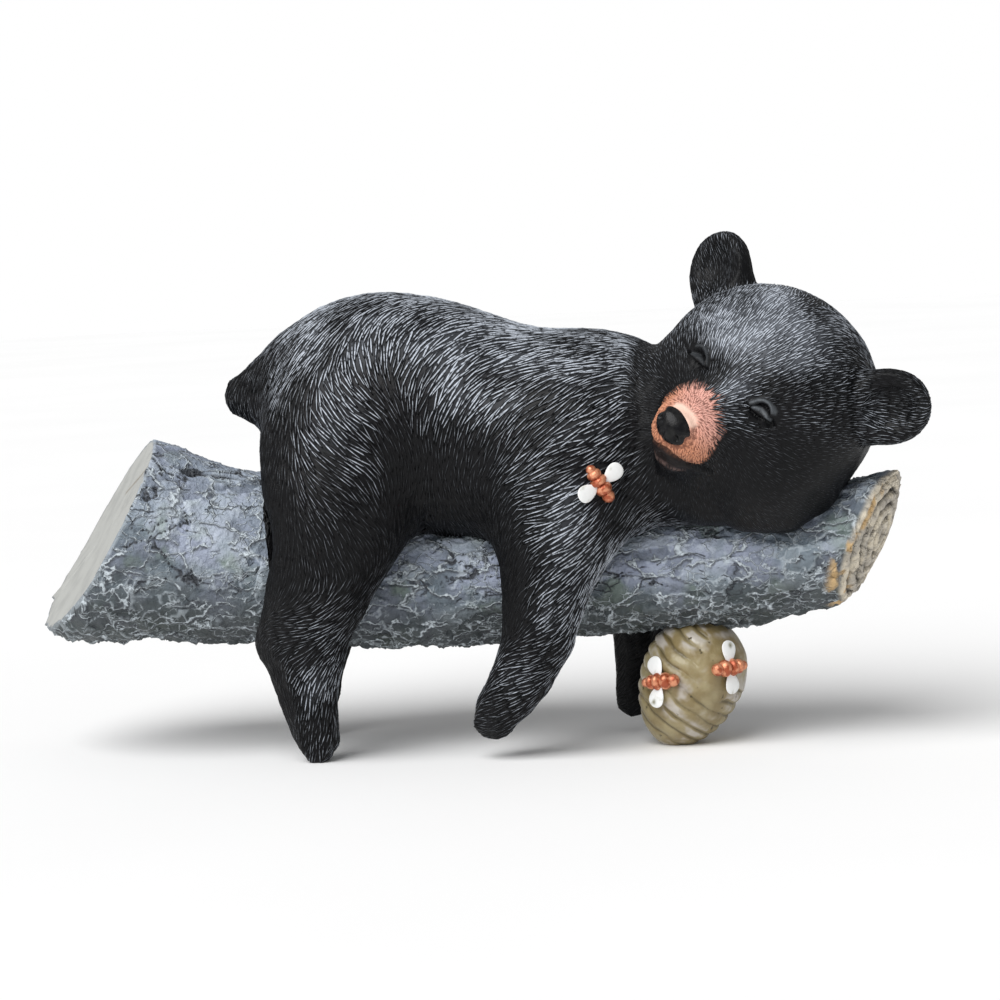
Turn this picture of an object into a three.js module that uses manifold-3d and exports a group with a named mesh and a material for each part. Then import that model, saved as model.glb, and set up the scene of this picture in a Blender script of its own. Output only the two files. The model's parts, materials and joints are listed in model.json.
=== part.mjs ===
// Cast resin garden statue: a bear cub asleep along a cut branch, its legs hanging down on both sides,
// with a beehive under the branch and three bees. It stands on both hind paws and the foot of the hive.
// Millimetres, +Z up. X runs along the branch from the trunk end to the ringed end, and -Y is the front.
import * as THREE from "three";
import { mergeVertices } from "three/addons/utils/BufferGeometryUtils.js";
import Module from "manifold-3d";

const wasm = await Module();
wasm.setup();

// Driving dimensions
const GLUE_GAP = 0.3; // left between two castings that touch
const TABLE_Z = 0; // the surface that the paws and the hive stand on
const BODY_CELL = 8.9; // size of the facets on the cub's body
const EAR_CELL = 4.1; // and on its ears
const FACE_FINENESS = 0.42; // facets at the face, as a share of those on the body
const FACE_REACH = 92; // how far from the face the finer facets run out

// Small helpers

const radians = THREE.MathUtils.degToRad;
const mix = THREE.MathUtils.lerp;
const vec = (...v) => new THREE.Vector3(...v);

function finish(color, roughness, metalness = 0) {
  return new THREE.MeshStandardMaterial({ color, roughness, metalness });
}

// A repeatable value from 0 to 1 for a whole-numbered place.
function chance(i, j) {
  const s = Math.sin(i * 127.1 + j * 311.7) * 43758.5453;
  return s - Math.floor(s);
}

// Value noise from -1 to 1, repeating after `period` steps of v.
function lumps(u, v, period) {
  const i = Math.floor(u);
  const j = Math.floor(v);
  const ease = (t) => t * t * (3 - 2 * t);
  const at = (a, b) => 2 * chance(a, ((b % period) + period) % period) - 1;
  const s = ease(u - i);
  const t = ease(v - j);
  return mix(mix(at(i, j), at(i + 1, j), s), mix(at(i, j + 1), at(i + 1, j + 1), s), t);
}

// Solids from three.js geometry, and geometry from solids.
function solidOf(geometry) {
  const bare = new THREE.BufferGeometry();
  bare.setAttribute("position", geometry.getAttribute("position"));
  if (geometry.index) bare.setIndex(geometry.index);
  const merged = mergeVertices(bare, 1e-3);
  return new wasm.Manifold(
    new wasm.Mesh({
      numProp: 3,
      vertProperties: merged.attributes.position.array,
      triVerts: new Uint32Array(merged.index.array),
    }),
  );
}

function geometryOf(solid) {
  const mesh = solid.getMesh();
  const geometry = new THREE.BufferGeometry();
  geometry.setAttribute("position", new THREE.BufferAttribute(mesh.vertProperties, 3));
  geometry.setIndex(new THREE.BufferAttribute(mesh.triVerts, 1));
  return geometry;
}

// Everything under the table is trimmed off, which leaves the small flats that the statue stands on.
function underTable() {
  const side = 1000;
  const slab = new THREE.BoxGeometry(side, side, side);
  return solidOf(slab.translate(0, 0, TABLE_Z - side / 2));
}

// Forms given as signed distances, negative inside, that melt into each other like clay

const ball = (cx, cy, cz, rx, ry = rx, rz = rx) => (x, y, z) => {
  const [u, v, w] = [(x - cx) / rx, (y - cy) / ry, (z - cz) / rz];
  const far = Math.hypot(u, v, w);
  const slope = Math.hypot(u / rx, v / ry, w / rz);
  return slope ? (far * (far - 1)) / slope : -Math.min(rx, ry, rz);
};

// A limb runs through joints, each [x, y, z, radius].
const limb = (...joints) => (x, y, z) => {
  let nearest = Infinity;
  for (let i = 1; i < joints.length; i++) {
    const [a, b] = [joints[i - 1], joints[i]];
    const [dx, dy, dz] = [b[0] - a[0], b[1] - a[1], b[2] - a[2]];
    const along = ((x - a[0]) * dx + (y - a[1]) * dy + (z - a[2]) * dz) / (dx * dx + dy * dy + dz * dz);
    const t = Math.min(1, Math.max(0, along));
    const gap = Math.hypot(x - a[0] - t * dx, y - a[1] - t * dy, z - a[2] - t * dz);
    nearest = Math.min(nearest, gap - mix(a[3], b[3], t));
  }
  return nearest;
};

function melt(a, b, reach) {
  const h = Math.max(reach - Math.abs(a - b), 0) / reach;
  return Math.min(a, b) - (h * h * reach) / 4;
}

const blend = (reach, ...forms) => (x, y, z) =>
  forms.reduce((sum, form) => melt(sum, form(x, y, z), reach), Infinity);

const hollow = (reach, form, tool) => (x, y, z) => -melt(-form(x, y, z), tool(x, y, z), reach);

const CORNERS = [0, 1, 2, 3, 4, 5, 6, 7]; // of a cell: x, y and z are the bits
const AXIS_BITS = [1, 2, 4];

// The skin of a form as one closed mesh: a grid of cells, one corner in each cell that the surface
// crosses, and a quad over each grid edge that it crosses. `place` bends the grid, so that its cells
// are small where detail is wanted. Each corner is then slid onto the surface.
function skin(form, low, high, cell, place) {
  const count = [0, 1, 2].map((k) => Math.ceil((high[k] - low[k]) / cell) + 1);
  const step = [1, count[0], count[0] * count[1]];
  const grid = new Array(step[2] * count[2]);
  const depth = new Float32Array(grid.length);
  for (let k = 0, n = 0; k < count[2]; k++)
    for (let j = 0; j < count[1]; j++)
      for (let i = 0; i < count[0]; i++, n++) {
        grid[n] = place(vec(low[0] + i * cell, low[1] + j * cell, low[2] + k * cell));
        depth[n] = form(grid[n].x, grid[n].y, grid[n].z);
      }

  const bit = (b, k) => (b >> k) & 1;
  const offsets = CORNERS.map((b) => bit(b, 0) * step[0] + bit(b, 1) * step[1] + bit(b, 2) * step[2]);
  fillPinches(depth, count, step, offsets);

  const corners = [];
  const cornerOf = new Map();
  const edges = CORNERS.flatMap((a) => AXIS_BITS.filter((b) => !(a & b)).map((b) => [a, a | b]));
  for (let k = 0; k < count[2] - 1; k++)
    for (let j = 0; j < count[1] - 1; j++)
      for (let i = 0; i < count[0] - 1; i++) {
        const n = i + j * step[1] + k * step[2];
        const sum = vec(0, 0, 0);
        let crossings = 0;
        for (const [a, b] of edges) {
          const [p, q] = [n + offsets[a], n + offsets[b]];
          if (depth[p] < 0 === depth[q] < 0) continue;
          sum.add(grid[p].clone().lerp(grid[q], depth[p] / (depth[p] - depth[q])));
          crossings++;
        }
        if (!crossings) continue;
        cornerOf.set(n, corners.length);
        corners.push(slideOnto(form, sum.divideScalar(crossings)));
      }

  const faces = [];
  for (const [n] of cornerOf)
    for (let k = 0; k < 3; k++) {
      const [u, v] = [step[(k + 1) % 3], step[(k + 2) % 3]];
      const ring = [n - u - v, n - v, n, n - u].map((c) => cornerOf.get(c));
      if (ring.includes(undefined) || depth[n] < 0 === depth[n + step[k]] < 0) continue;
      if (depth[n] >= 0) ring.reverse();
      const [a, b, c, d] = ring;
      const short = corners[a].distanceTo(corners[c]) < corners[b].distanceTo(corners[d]);
      faces.push(...(short ? [a, b, c, a, c, d] : [a, b, d, b, c, d]));
    }
  const geometry = new THREE.BufferGeometry().setFromPoints(corners);
  return geometry.setIndex(faces);
}

// True if those corners of a cell, given as bits, hang together along its edges.
function joined(bits) {
  let reached = bits & -bits;
  for (let pass = 0; pass < 8; pass++)
    for (const a of CORNERS)
      if (bits & (1 << a) && AXIS_BITS.some((b) => reached & (1 << (a ^ b)))) reached |= 1 << a;
  return reached === bits;
}

// Where two sheets of the skin would meet in one cell, material is added until only one is left.
function fillPinches(depth, count, step, offsets) {
  const oneSheet = Array.from({ length: 256 }, (_, bits) => joined(bits) && joined(255 ^ bits));
  let pinched = true;
  while (pinched) {
    pinched = false;
    for (let n = 0; n + step[2] + step[1] + 1 < depth.length; n++) {
      if (n % step[1] === count[0] - 1 || Math.floor(n / step[1]) % count[1] === count[1] - 1) continue;
      const cell = offsets.map((offset) => n + offset);
      const bits = cell.reduce((sum, c, b) => sum | (depth[c] < 0) << b, 0);
      if (oneSheet[bits]) continue;
      const outside = cell.filter((c) => depth[c] >= 0);
      depth[outside.reduce((a, b) => (depth[a] < depth[b] ? a : b))] = -0.05;
      pinched = true;
    }
  }
}

function slideOnto(form, point) {
  const h = 0.05;
  for (let turn = 0; turn < 3; turn++) {
    const { x, y, z } = point;
    const here = form(x, y, z);
    const slope = vec(form(x + h, y, z), form(x, y + h, z), form(x, y, z + h));
    slope.subScalar(here).divideScalar(h);
    const steep = Math.max(slope.lengthSq(), 0.25);
    point.addScaledVector(slope, THREE.MathUtils.clamp((-0.8 * here) / steep, -2, 2));
  }
  return point;
}

// Branch: the trunk end is cut flat to sit against a tree, the other end shows its rings

const BARK_ROUND = 30; // facets round the branch
const BARK_ALONG = 21; // facets along it
const BARK_RELIEF = 1.1; // height of the bark's lumps
const RING_DEPTH = 1.1; // depth of the grooves between the growth rings
const RINGS = 3;

// The branch's centre and radius, from the flare at the tree to the ringed end.
const BRANCH_STATIONS = [
  { x: -205, y: -11, z: 96, r: 44 },
  { x: -145, y: -7, z: 90, r: 41.6 },
  { x: -115, y: -5, z: 83.4, r: 35.8 },
  { x: -85, y: -3, z: 78.5, r: 33.8 },
  { x: -45, y: -1, z: 69.6, r: 28 },
  { x: -20, y: 0, z: 67.7, r: 26.3 },
  { x: 25, y: 0, z: 70.4, r: 24.7 },
  { x: 75, y: -1, z: 70.6, r: 23.8 },
  { x: 110, y: -4, z: 74.5, r: 24 },
  { x: 140, y: -7, z: 81, r: 23.8 },
  { x: 175, y: -11, z: 91, r: 23.2 },
];
const TRUNK_CUT = { point: vec(-170, -8, 93), normal: vec(-0.79, -0.34, 0.51).normalize() };
const RING_CUT = { point: vec(153.5, -9, 85.2), normal: vec(0.92, -0.2, -0.34).normalize() };

const branchLine = new THREE.CatmullRomCurve3(BRANCH_STATIONS.map((s) => vec(s.x, s.y, s.z)));

function branchRadius(t) {
  const scaled = t * (BRANCH_STATIONS.length - 1);
  const i = Math.min(Math.floor(scaled), BRANCH_STATIONS.length - 2);
  return mix(BRANCH_STATIONS[i].r, BRANCH_STATIONS[i + 1].r, scaled - i);
}

// A point at `t` along the centre line, `share` of the radius out from it, at `angle` round it.
function branchPoint(t, angle, share, grow) {
  const along = branchLine.getTangent(t);
  const side = vec(0, 0, 1).cross(along).normalize();
  const up = along.clone().cross(side);
  const turn = angle / (2 * Math.PI);
  const bark = BARK_RELIEF * (lumps(t * 30, turn * 16, 16) + lumps(t * 11 + 5, turn * 6, 6));
  const radius = share * (branchRadius(t) + bark) + grow;
  const point = branchLine.getPoint(t);
  return point.addScaledVector(side, Math.cos(angle) * radius).addScaledVector(up, Math.sin(angle) * radius);
}

// How far along the branch the line at that angle and share of the radius meets an end's cut.
function meets(cut, angle, share, grow) {
  const beyond = (t) => branchPoint(t, angle, share, grow).sub(cut.point).dot(cut.normal) > grow;
  let [kept, gone] = cut.normal.x > 0 ? [0.5, 1] : [0.5, 0];
  for (let turn = 0; turn < 30; turn++) {
    const t = (kept + gone) / 2;
    if (beyond(t)) gone = t;
    else kept = t;
  }
  return kept;
}

function branchGeometry(grow = 0) {
  const around = Array.from({ length: BARK_ROUND }, (_, i) => (i / BARK_ROUND) * 2 * Math.PI);
  const onCut = (cut, angle, share, sink) =>
    branchPoint(meets(cut, angle, share, grow), angle, share, grow).addScaledVector(cut.normal, -sink);
  const rows = [around.map((angle) => onCut(TRUNK_CUT, angle, 0.5, 0))];
  for (let i = 0; i <= BARK_ALONG; i++)
    rows.push(
      around.map((angle) => {
        const t = mix(meets(TRUNK_CUT, angle, 1, grow), meets(RING_CUT, angle, 1, grow), i / BARK_ALONG);
        return branchPoint(t, angle, 1, grow);
      }),
    );
  for (let i = 1; i <= 2 * RINGS; i++) {
    const share = (angle) => 1 - i / (2 * RINGS + 1) + 0.035 * Math.sin(3 * angle + i);
    rows.push(around.map((angle) => onCut(RING_CUT, angle, share(angle), i % 2 ? RING_DEPTH : 0)));
  }

  const points = rows.flat();
  const faces = [];
  const next = (i) => (i + 1) % BARK_ROUND;
  for (let row = 0; row + 1 < rows.length; row++)
    for (let i = 0; i < BARK_ROUND; i++) {
      const [a, b] = [row * BARK_ROUND + i, row * BARK_ROUND + next(i)];
      faces.push(a, b, a + BARK_ROUND, b, b + BARK_ROUND, a + BARK_ROUND);
    }
  for (const row of [0, rows.length - 1]) {
    const middle = points.length;
    points.push(rows[row].reduce((total, p) => total.add(p), vec(0, 0, 0)).divideScalar(BARK_ROUND));
    for (let i = 0; i < BARK_ROUND; i++) {
      const [a, b] = [row * BARK_ROUND + i, row * BARK_ROUND + next(i)];
      faces.push(...(row ? [a, b, middle] : [b, a, middle]));
    }
  }
  return new THREE.BufferGeometry().setFromPoints(points).setIndex(faces);
}

// Cub: one casting, draped over the branch, with its chin resting on it

const HEAD_CENTRE = vec(110.6, -15, 138.4);
const HEAD_TILT = radians(38); // crown leaning towards the ringed end
const HEAD_NOD = radians(-5);
const HEAD_TURN = radians(-20); // face turned a little back towards the tail
const headPose = new THREE.Matrix4()
  .makeRotationFromEuler(new THREE.Euler(HEAD_NOD, HEAD_TILT, HEAD_TURN, "ZXY"))
  .setPosition(HEAD_CENTRE);
const toHead = headPose.clone().invert();

// In the head's own frame the face looks along -Y, X runs across it and Z is up to the crown.
const EYE = { x: 18, y: -36, z: 11 };
const FACE_CENTRE = vec(0, -32, 0).applyMatrix4(headPose);
const both = (make) => [make(-1), make(1)];

const sleepyHead = blend(
  9,
  ball(0, 3, 4, 46.5, 42, 44),
  ball(0, 2, -12, 44, 38, 34),
  ...both((side) => ball(side * 24, -12, -14, 20, 21, 19)),
  blend(5, limb([0, -24, -9, 18.5], [0, -44, -14, 14]), limb([0, -24, -23, 13], [0, -41, -24.5, 8.5])),
);
const head = blend(
  2.5,
  hollow(4, sleepyHead, blend(3, ...both((side) => ball(side * (EYE.x - 1), EYE.y - 6, EYE.z, 8, 6, 5)))),
  ...both((side) => ball(side * EYE.x, EYE.y + 2.4, EYE.z - 0.5, 6.4, 4.6, 4.2)),
);

const trunk = blend(
  26,
  ball(-53, 0, 142.5, 45, 43, 46),
  ball(-18, 0, 134.5, 46, 44, 46),
  ball(24, 0, 124, 44, 41, 40),
  ball(48, -2, 131, 30, 38, 35),
);
const tail = limb([-84, 0, 155, 16], [-105.5, 0, 149.5, 10]);
const neck = limb([60, -4, 124, 34], [92, -10, 124, 34]);

// Each leg runs from the haunch or shoulder over the knee or elbow to the paw.
const legs = [
  ball(-61, -33, 116, 33, 22, 42),
  limb([-62, -35, 100, 25], [-69, -40, 72, 22], [-77, -40, 50, 17], [-77, -36, 28, 12], [-74, -33, 6.6, 8.6]),
  ball(-64, 33, 116, 33, 22, 42),
  limb([-66, 35, 100, 25], [-76, 40, 72, 21], [-88, 38, 50, 15], [-92, 34, 26, 11], [-92, 31, 6.6, 8.6]),
  ball(30, -28, 112, 30, 22, 38),
  limb([30, -33, 100, 22], [25, -37, 72, 18], [21, -38, 50, 14.5], [13, -37, 33, 12], [0.5, -36, 17.5, 9.3]),
  ball(42, 28, 112, 30, 22, 38),
  limb([45, 33, 100, 21], [50, 38, 70, 15.5], [49.5, 38, 45, 12], [48.5, 37, 25, 10], [47, 36, 12.5, 9]),
];

const headless = blend(14, trunk, tail, neck, ...legs);
const headInPlace = (x, y, z) => head(...vec(x, y, z).applyMatrix4(toHead).toArray());
const cub = blend(5, headless, headInPlace);

// Bends the even grid towards the head, where the facets are finer.
function gatherAtHead(point) {
  const away = point.clone().sub(FACE_CENTRE);
  const t = Math.min(1, away.length() / FACE_REACH);
  return FACE_CENTRE.clone().addScaledVector(away, mix(FACE_FINENESS, 1, t * t * (3 - 2 * t)));
}

// An ear is a thick round leaf, scooped out in front, leaning up and outwards.
const EAR = { back: 1, lean: radians(48), turn: radians(18), wide: 15, high: 16.5, thick: 8.5 };
const UPPER_EAR = { side: -1, out: 45.5, up: 30.3 };
const LOWER_EAR = { side: 1, out: 44.5, up: 32.3 };

function earGeometry({ side, out, up }) {
  const rim = ball(0, 0, 2, EAR.wide, EAR.thick, EAR.high);
  const root = ball(0, 4, -10, EAR.wide, EAR.thick, 11);
  const scoop = ball(0, -EAR.thick, 3, EAR.wide * 0.74, EAR.thick * 1.1, EAR.high * 0.76);
  const reach = EAR.high + 6;
  const form = hollow(2, blend(6, rim, root), scoop);
  const ear = skin(form, [-reach, -reach, -reach], [reach, reach, reach], EAR_CELL, (point) => point);
  const lean = new THREE.Euler(0, side * EAR.lean, side * EAR.turn, "ZYX");
  const place = new THREE.Matrix4().makeRotationFromEuler(lean);
  return ear.applyMatrix4(place.setPosition(side * out, EAR.back, up)).applyMatrix4(headPose);
}

const NOSE = { at: vec(0, -55, -10), size: vec(8.4, 5.4, 5.8) };

function noseGeometry() {
  const nose = new THREE.SphereGeometry(1, 12, 8).scale(...NOSE.size.toArray());
  return nose.translate(...NOSE.at.toArray()).applyMatrix4(headPose);
}

const BEAR_LOW = [-128, -98, -16]; // corners of the box that the cub is sought in
const BEAR_HIGH = [190, 74, 212];

function bearGeometry(seat) {
  const body = skin(cub, BEAR_LOW, BEAR_HIGH, BODY_CELL, gatherAtHead);
  return geometryOf(
    solidOf(body)
      .add(solidOf(earGeometry(UPPER_EAR)))
      .add(solidOf(earGeometry(LOWER_EAR)))
      .add(solidOf(noseGeometry()))
      .subtract(seat)
      .subtract(underTable()),
  );
}

// Beehive: a leaning egg wound from coils, pressed up against the underside of the branch

const HIVE_FOOT = vec(64.5, -3, -0.5);
const HIVE_TOP = vec(87.5, -3, 50.5);
const HIVE_WIDTH = 41.5;
const HIVE_COILS = 10;
const HIVE_ROUND = 20;
const COIL_RELIEF = 1.1;

const hiveAxis = HIVE_TOP.clone().sub(HIVE_FOOT);
const hiveLean = new THREE.Quaternion().setFromUnitVectors(vec(0, 1, 0), hiveAxis.clone().normalize());
const hivePose = new THREE.Matrix4().makeRotationFromQuaternion(hiveLean).setPosition(HIVE_FOOT);

function hiveGeometry(grow = 0) {
  const height = hiveAxis.length();
  const outline = [new THREE.Vector2(0, -grow)];
  for (let i = 1; i < 2 * HIVE_COILS; i++) {
    const share = i / (2 * HIVE_COILS);
    const egg = Math.sqrt(1 - (2 * share - 1) ** 2) * (1 + 0.12 * (2 * share - 1));
    const coil = COIL_RELIEF * (i % 2 ? 0.5 : -0.5);
    outline.push(new THREE.Vector2((HIVE_WIDTH / 2) * egg + coil + grow, share * height));
  }
  outline.push(new THREE.Vector2(0, height + grow));
  return new THREE.LatheGeometry(outline, HIVE_ROUND).applyMatrix4(hivePose);
}

// Bees: a beaded body lying on what it is glued to, and two paddle-shaped wings

const BEE_LENGTH = 15.6;
const BEE_ROUND = 8;
const BEE_RISE = 1.3; // height of the body's middle over the surface
const BEE_BEADS = [
  { at: -0.44, r: 1.6 },
  { at: -0.27, r: 3.2 },
  { at: -0.1, r: 3.4 },
  { at: 0.14, r: 3.4 },
  { at: 0.38, r: 2.4 },
];
const BEE_WAIST = 0.6; // how far the gaps between the beads are sunk
const WING = { long: 8.6, root: 2.4, wide: 5.8, thick: 1.2, from: 2.2, rise: 1.5 };

// The bee's own frame: its head is at +X, its back is at +Z, and its belly rests on the XY plane.
function beeSolid(sweep, droop) {
  const outline = [];
  const add = (radius, share) => outline.push(new THREE.Vector2(radius, share * BEE_LENGTH));
  add(0, -0.52);
  BEE_BEADS.forEach((bead, i) => {
    const next = BEE_BEADS[i + 1];
    add(bead.r, bead.at);
    if (next) add(Math.min(bead.r, next.r) - BEE_WAIST, (bead.at + next.at) / 2);
  });
  add(0, 0.51);
  const body = new THREE.LatheGeometry(outline, BEE_ROUND).rotateZ(-Math.PI / 2).translate(0, 0, BEE_RISE);
  const wings = [-1, 1].map((side) => {
    const wing = wingGeometry().rotateX(-droop);
    return solidOf(wing.rotateZ(side > 0 ? sweep : Math.PI - sweep).translate(0, 0, WING.rise));
  });
  return wings.reduce((bee, wing) => bee.add(wing), solidOf(body));
}

// A flat paddle along +Y, narrow where it leaves the body.
function wingGeometry() {
  const [root, wide, near, far] = [WING.root / 2, WING.wide / 2, WING.from, WING.from + WING.long];
  const paddle = new THREE.Shape().moveTo(root, near);
  paddle.bezierCurveTo(wide, near + 2, wide * 1.2, far, 0, far);
  paddle.bezierCurveTo(-wide * 1.2, far, -wide, near + 2, -root, near);
  const flat = { depth: WING.thick, bevelEnabled: false, curveSegments: 5 };
  return new THREE.ExtrudeGeometry(paddle, flat).translate(0, 0, -WING.thick / 2);
}

// Sets a bee down at `place`, with its head towards `heading` and its back along `out`.
function beeGeometry({ place, heading, out, sweep, droop }, carrier) {
  const up = out.clone().normalize();
  const side = up.clone().cross(heading).normalize();
  const pose = new THREE.Matrix4().makeBasis(side.clone().cross(up), side, up).setPosition(place);
  const bee = geometryOf(beeSolid(sweep, droop)).applyMatrix4(pose);
  return geometryOf(solidOf(bee).subtract(carrier(up)));
}

// Where the bees sit, which way they head, and which way their backs face
const HIVE_LEFT_BEE = {
  place: vec(68.1, -21.4, 28.2),
  heading: vec(0.92, -0.38, 0.11),
  out: vec(-0.39, -0.9, 0.17),
  sweep: radians(25),
  droop: radians(16),
};
const HIVE_RIGHT_BEE = {
  place: vec(93.1, -17.8, 32.7),
  heading: vec(-0.69, -0.72, -0.02),
  out: vec(0.72, -0.69, 0.07),
  sweep: radians(12),
  droop: radians(16),
};
const SHOULDER_BEE = {
  place: vec(50.4, -48.3, 111.1),
  heading: vec(0.46, 0.26, -0.85),
  out: vec(0.53, -0.85, 0.02),
  sweep: radians(8),
  droop: radians(8),
};

const furBlack = finish(0x1c1d20, 0.55);
const barkGrey = finish(0x6c7078, 0.8);
const combTan = finish(0xb5a57c, 0.6);
const beeCopper = finish(0xb4603c, 0.4, 0.3);

const seat = solidOf(branchGeometry(GLUE_GAP));
const bear = bearGeometry(seat);
const hive = geometryOf(solidOf(hiveGeometry()).subtract(seat).subtract(underTable()));
const onHive = () => solidOf(hiveGeometry(GLUE_GAP)).add(seat);
const onBear = (up) => solidOf(bear).translate(up.clone().multiplyScalar(GLUE_GAP).toArray());

const statue = new THREE.Group();
const pieces = [
  ["branch", branchGeometry(), barkGrey],
  ["bear", bear, furBlack],
  ["hive", hive, combTan],
  ["bee_hive_left", beeGeometry(HIVE_LEFT_BEE, onHive), beeCopper],
  ["bee_hive_right", beeGeometry(HIVE_RIGHT_BEE, onHive), beeCopper],
  ["bee_shoulder", beeGeometry(SHOULDER_BEE, onBear), beeCopper],
];
for (const [name, geometry, material] of pieces) {
  const mesh = new THREE.Mesh(geometry, material);
  mesh.name = name;
  statue.add(mesh);
}

// The origin is under the middle of the statue, on the surface that it stands on.
const bounds = new THREE.Box3().setFromObject(statue);
const middle = bounds.getCenter(vec(0, 0, 0));
statue.position.set(-middle.x, -middle.y, -bounds.min.z);

export default statue;
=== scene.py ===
# A cast resin garden statue of a bear cub asleep along a cut branch, with a beehive and three bees.
# The scene is in metres, with +Z up and the front towards -Y. Sizes are given in millimetres, times MM.
import json
from math import cos, pi, radians, sin

import bpy
import numpy as np
from mathutils import Matrix, Vector
from mathutils.bvhtree import BVHTree
from mathutils.kdtree import KDTree


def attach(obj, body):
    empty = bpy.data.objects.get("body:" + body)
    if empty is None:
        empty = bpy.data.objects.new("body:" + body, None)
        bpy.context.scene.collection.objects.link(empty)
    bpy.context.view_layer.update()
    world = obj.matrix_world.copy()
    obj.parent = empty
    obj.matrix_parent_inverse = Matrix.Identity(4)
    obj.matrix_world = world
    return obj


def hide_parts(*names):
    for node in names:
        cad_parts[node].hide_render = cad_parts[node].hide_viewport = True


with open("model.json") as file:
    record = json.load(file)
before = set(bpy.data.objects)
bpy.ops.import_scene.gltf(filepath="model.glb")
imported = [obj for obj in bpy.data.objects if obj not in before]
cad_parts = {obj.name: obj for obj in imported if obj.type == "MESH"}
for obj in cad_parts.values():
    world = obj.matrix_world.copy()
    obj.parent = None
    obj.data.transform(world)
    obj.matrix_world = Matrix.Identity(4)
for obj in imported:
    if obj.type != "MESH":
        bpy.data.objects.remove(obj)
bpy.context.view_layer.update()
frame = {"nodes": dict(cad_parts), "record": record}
bpy.ops.object.select_all(action="DESELECT")
MM = 0.001

# Branch: a casting of its own, flared at the end that is set against a tree, where it is cut flat.
# Its bark is flaky plates in slate blue-grey, brushed pale on their raised edges, and the other end
# shows carved growth rings with ochre patches round them.

BRANCH_STATIONS = (  # x, y and z of the branch's middle, and its radius
    (-195, -6, 96, 44), (-135, -2, 90, 41.6), (-105, 0, 83.4, 35.8), (-75, 2, 78.5, 33.8),
    (-35, 4, 69.6, 28), (-10, 5, 67.7, 26.3), (35, 5, 70.4, 24.7), (85, 4, 70.6, 23.8),
    (120, 1, 74.5, 24), (150, -2, 81, 23.8), (185, -6, 91, 23.2),
)
BEND_SOFTNESS = 16  # how far each side of a station its corner is eased
BRANCH_REACH = 198.0  # past both ends
trunk_mount = frame["record"]["mounts"][0]
# Each cut is a place on it and the way that it faces, as a unit length
TRUNK_CUT = (np.array(trunk_mount["pos_m"]) / MM, np.array(trunk_mount["axis"]))
RING_CUT = (np.array((163.4, -3.9, 85.2)), np.array((0.92, -0.2, -0.34)) / 1.001)
BARK_ROUND = 224  # steps round and along the bark, and rows across each cut end
BARK_ALONG = 350
TRUNK_ROWS = 34
RING_ROWS = 40
PATTERN_RADIUS = 30  # the bark's pattern is laid round a straight bar of this radius
PLATE_SIZE = np.array((17.0, 8.5, 8.5))
PLATE_STEP = 1.7  # how much higher one plate may lie than the next
PLATE_RIM = 0.06  # the width of a raised edge, as a share of a plate
PLATE_RIM_RISE = 0.8
SPLIT_SIZE = np.array((46.0, 12.0, 12.0))
SPLIT_WIDTH = 0.022
SPLIT_DEPTH = 1.2
BOUGH_SWELL = 1.3
CRACK_STARTS = (-124, -117)  # one deep split runs along the top of the bark
CRACK_ENDS = (-101, -92)
CRACK_ANGLE = 114  # degrees round the branch, where it crosses CRACK_X, and how it turns from there
CRACK_X = -120
CRACK_SLANT = 0.3
CRACK_WIDTH = 3.2
CRACK_DEPTH = 3.6
TRUNK_CRACK = ((-149.3, -1.4, 110.9), (-143, -9, 114.5), (-138.1, -16.3, 118.2), (-127.8, -29.3, 125.6))
TRUNK_CRACK_WIDTH = 0.9
WORN_LENGTH = 9  # the low edge of the trunk end is rounded off
WORN_DEPTH = 5
RING_COUNT = 4.6
RING_DEPTH = 2.2
RING_DOME = 4
RING_ROUNDING = 2
RING_ROUNDING_LENGTH = 6
OCHRE_TOP = 99


def clamp(value, low=0.0, high=1.0):
    """The value, held between low and high."""
    return np.minimum(np.maximum(value, low), high)


def ramp(value, low, high):
    """0 at low and 1 at high, eased at both ends."""
    share = clamp((value - low) / (high - low))
    return share * share * (3 - 2 * share)


def length(steps):
    return np.linalg.norm(steps, axis=-1)


def bell(value, width):
    """1 where the value is 0, falling off over that width."""
    return np.exp(-((value / width) ** 2))


def scatter(cell, salt):
    """A repeatable value from 0 to 1 for each whole-numbered cell."""
    turned = np.sin(cell @ np.array((127.1, 311.7, 74.7)) + 19.19 * salt) * 43758.5453
    return turned - np.floor(turned)


def lumps(points, size, salt=0):
    """Smooth values from -1 to 1, in lumps of that size."""
    place = points / size
    cell = np.floor(place)
    share = place - cell
    share = share * share * (3 - 2 * share)
    total = 0
    for corner in np.ndindex(2, 2, 2):
        weight = np.prod(np.where(corner, share, 1 - share), axis=-1)
        total = total + weight * scatter(cell + corner, salt)
    return 2 * total - 1


def plates(points, size, salt=0):
    """How far each point is from the edge of its plate, as a share, and a value for each plate."""
    place = points / size
    cell = np.floor(place)
    nearest = np.full(place.shape[:-1], 9.0)
    second = nearest.copy()
    value = np.zeros_like(nearest)
    for step in np.ndindex(3, 3, 3):
        there = cell + step - 1
        seed = there + np.stack([scatter(there, salt + k) for k in range(3)], axis=-1)
        away = length(place - seed)
        closer = away < nearest
        second = np.where(closer, nearest, np.minimum(second, away))
        value = np.where(closer, scatter(there, salt + 3), value)
        nearest = np.where(closer, away, nearest)
    return second - nearest, value


def near_line(points, *line):
    """How far each point is from a line through those places."""
    nearest = np.full(len(points), np.inf)
    for start, end in zip(line, line[1:]):
        start, step = np.array(start, float), np.array(end, float) - start
        share = clamp(((points - start) @ step) / (step @ step))
        nearest = np.minimum(nearest, length(points - start - share[:, None] * step))
    return nearest


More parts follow.
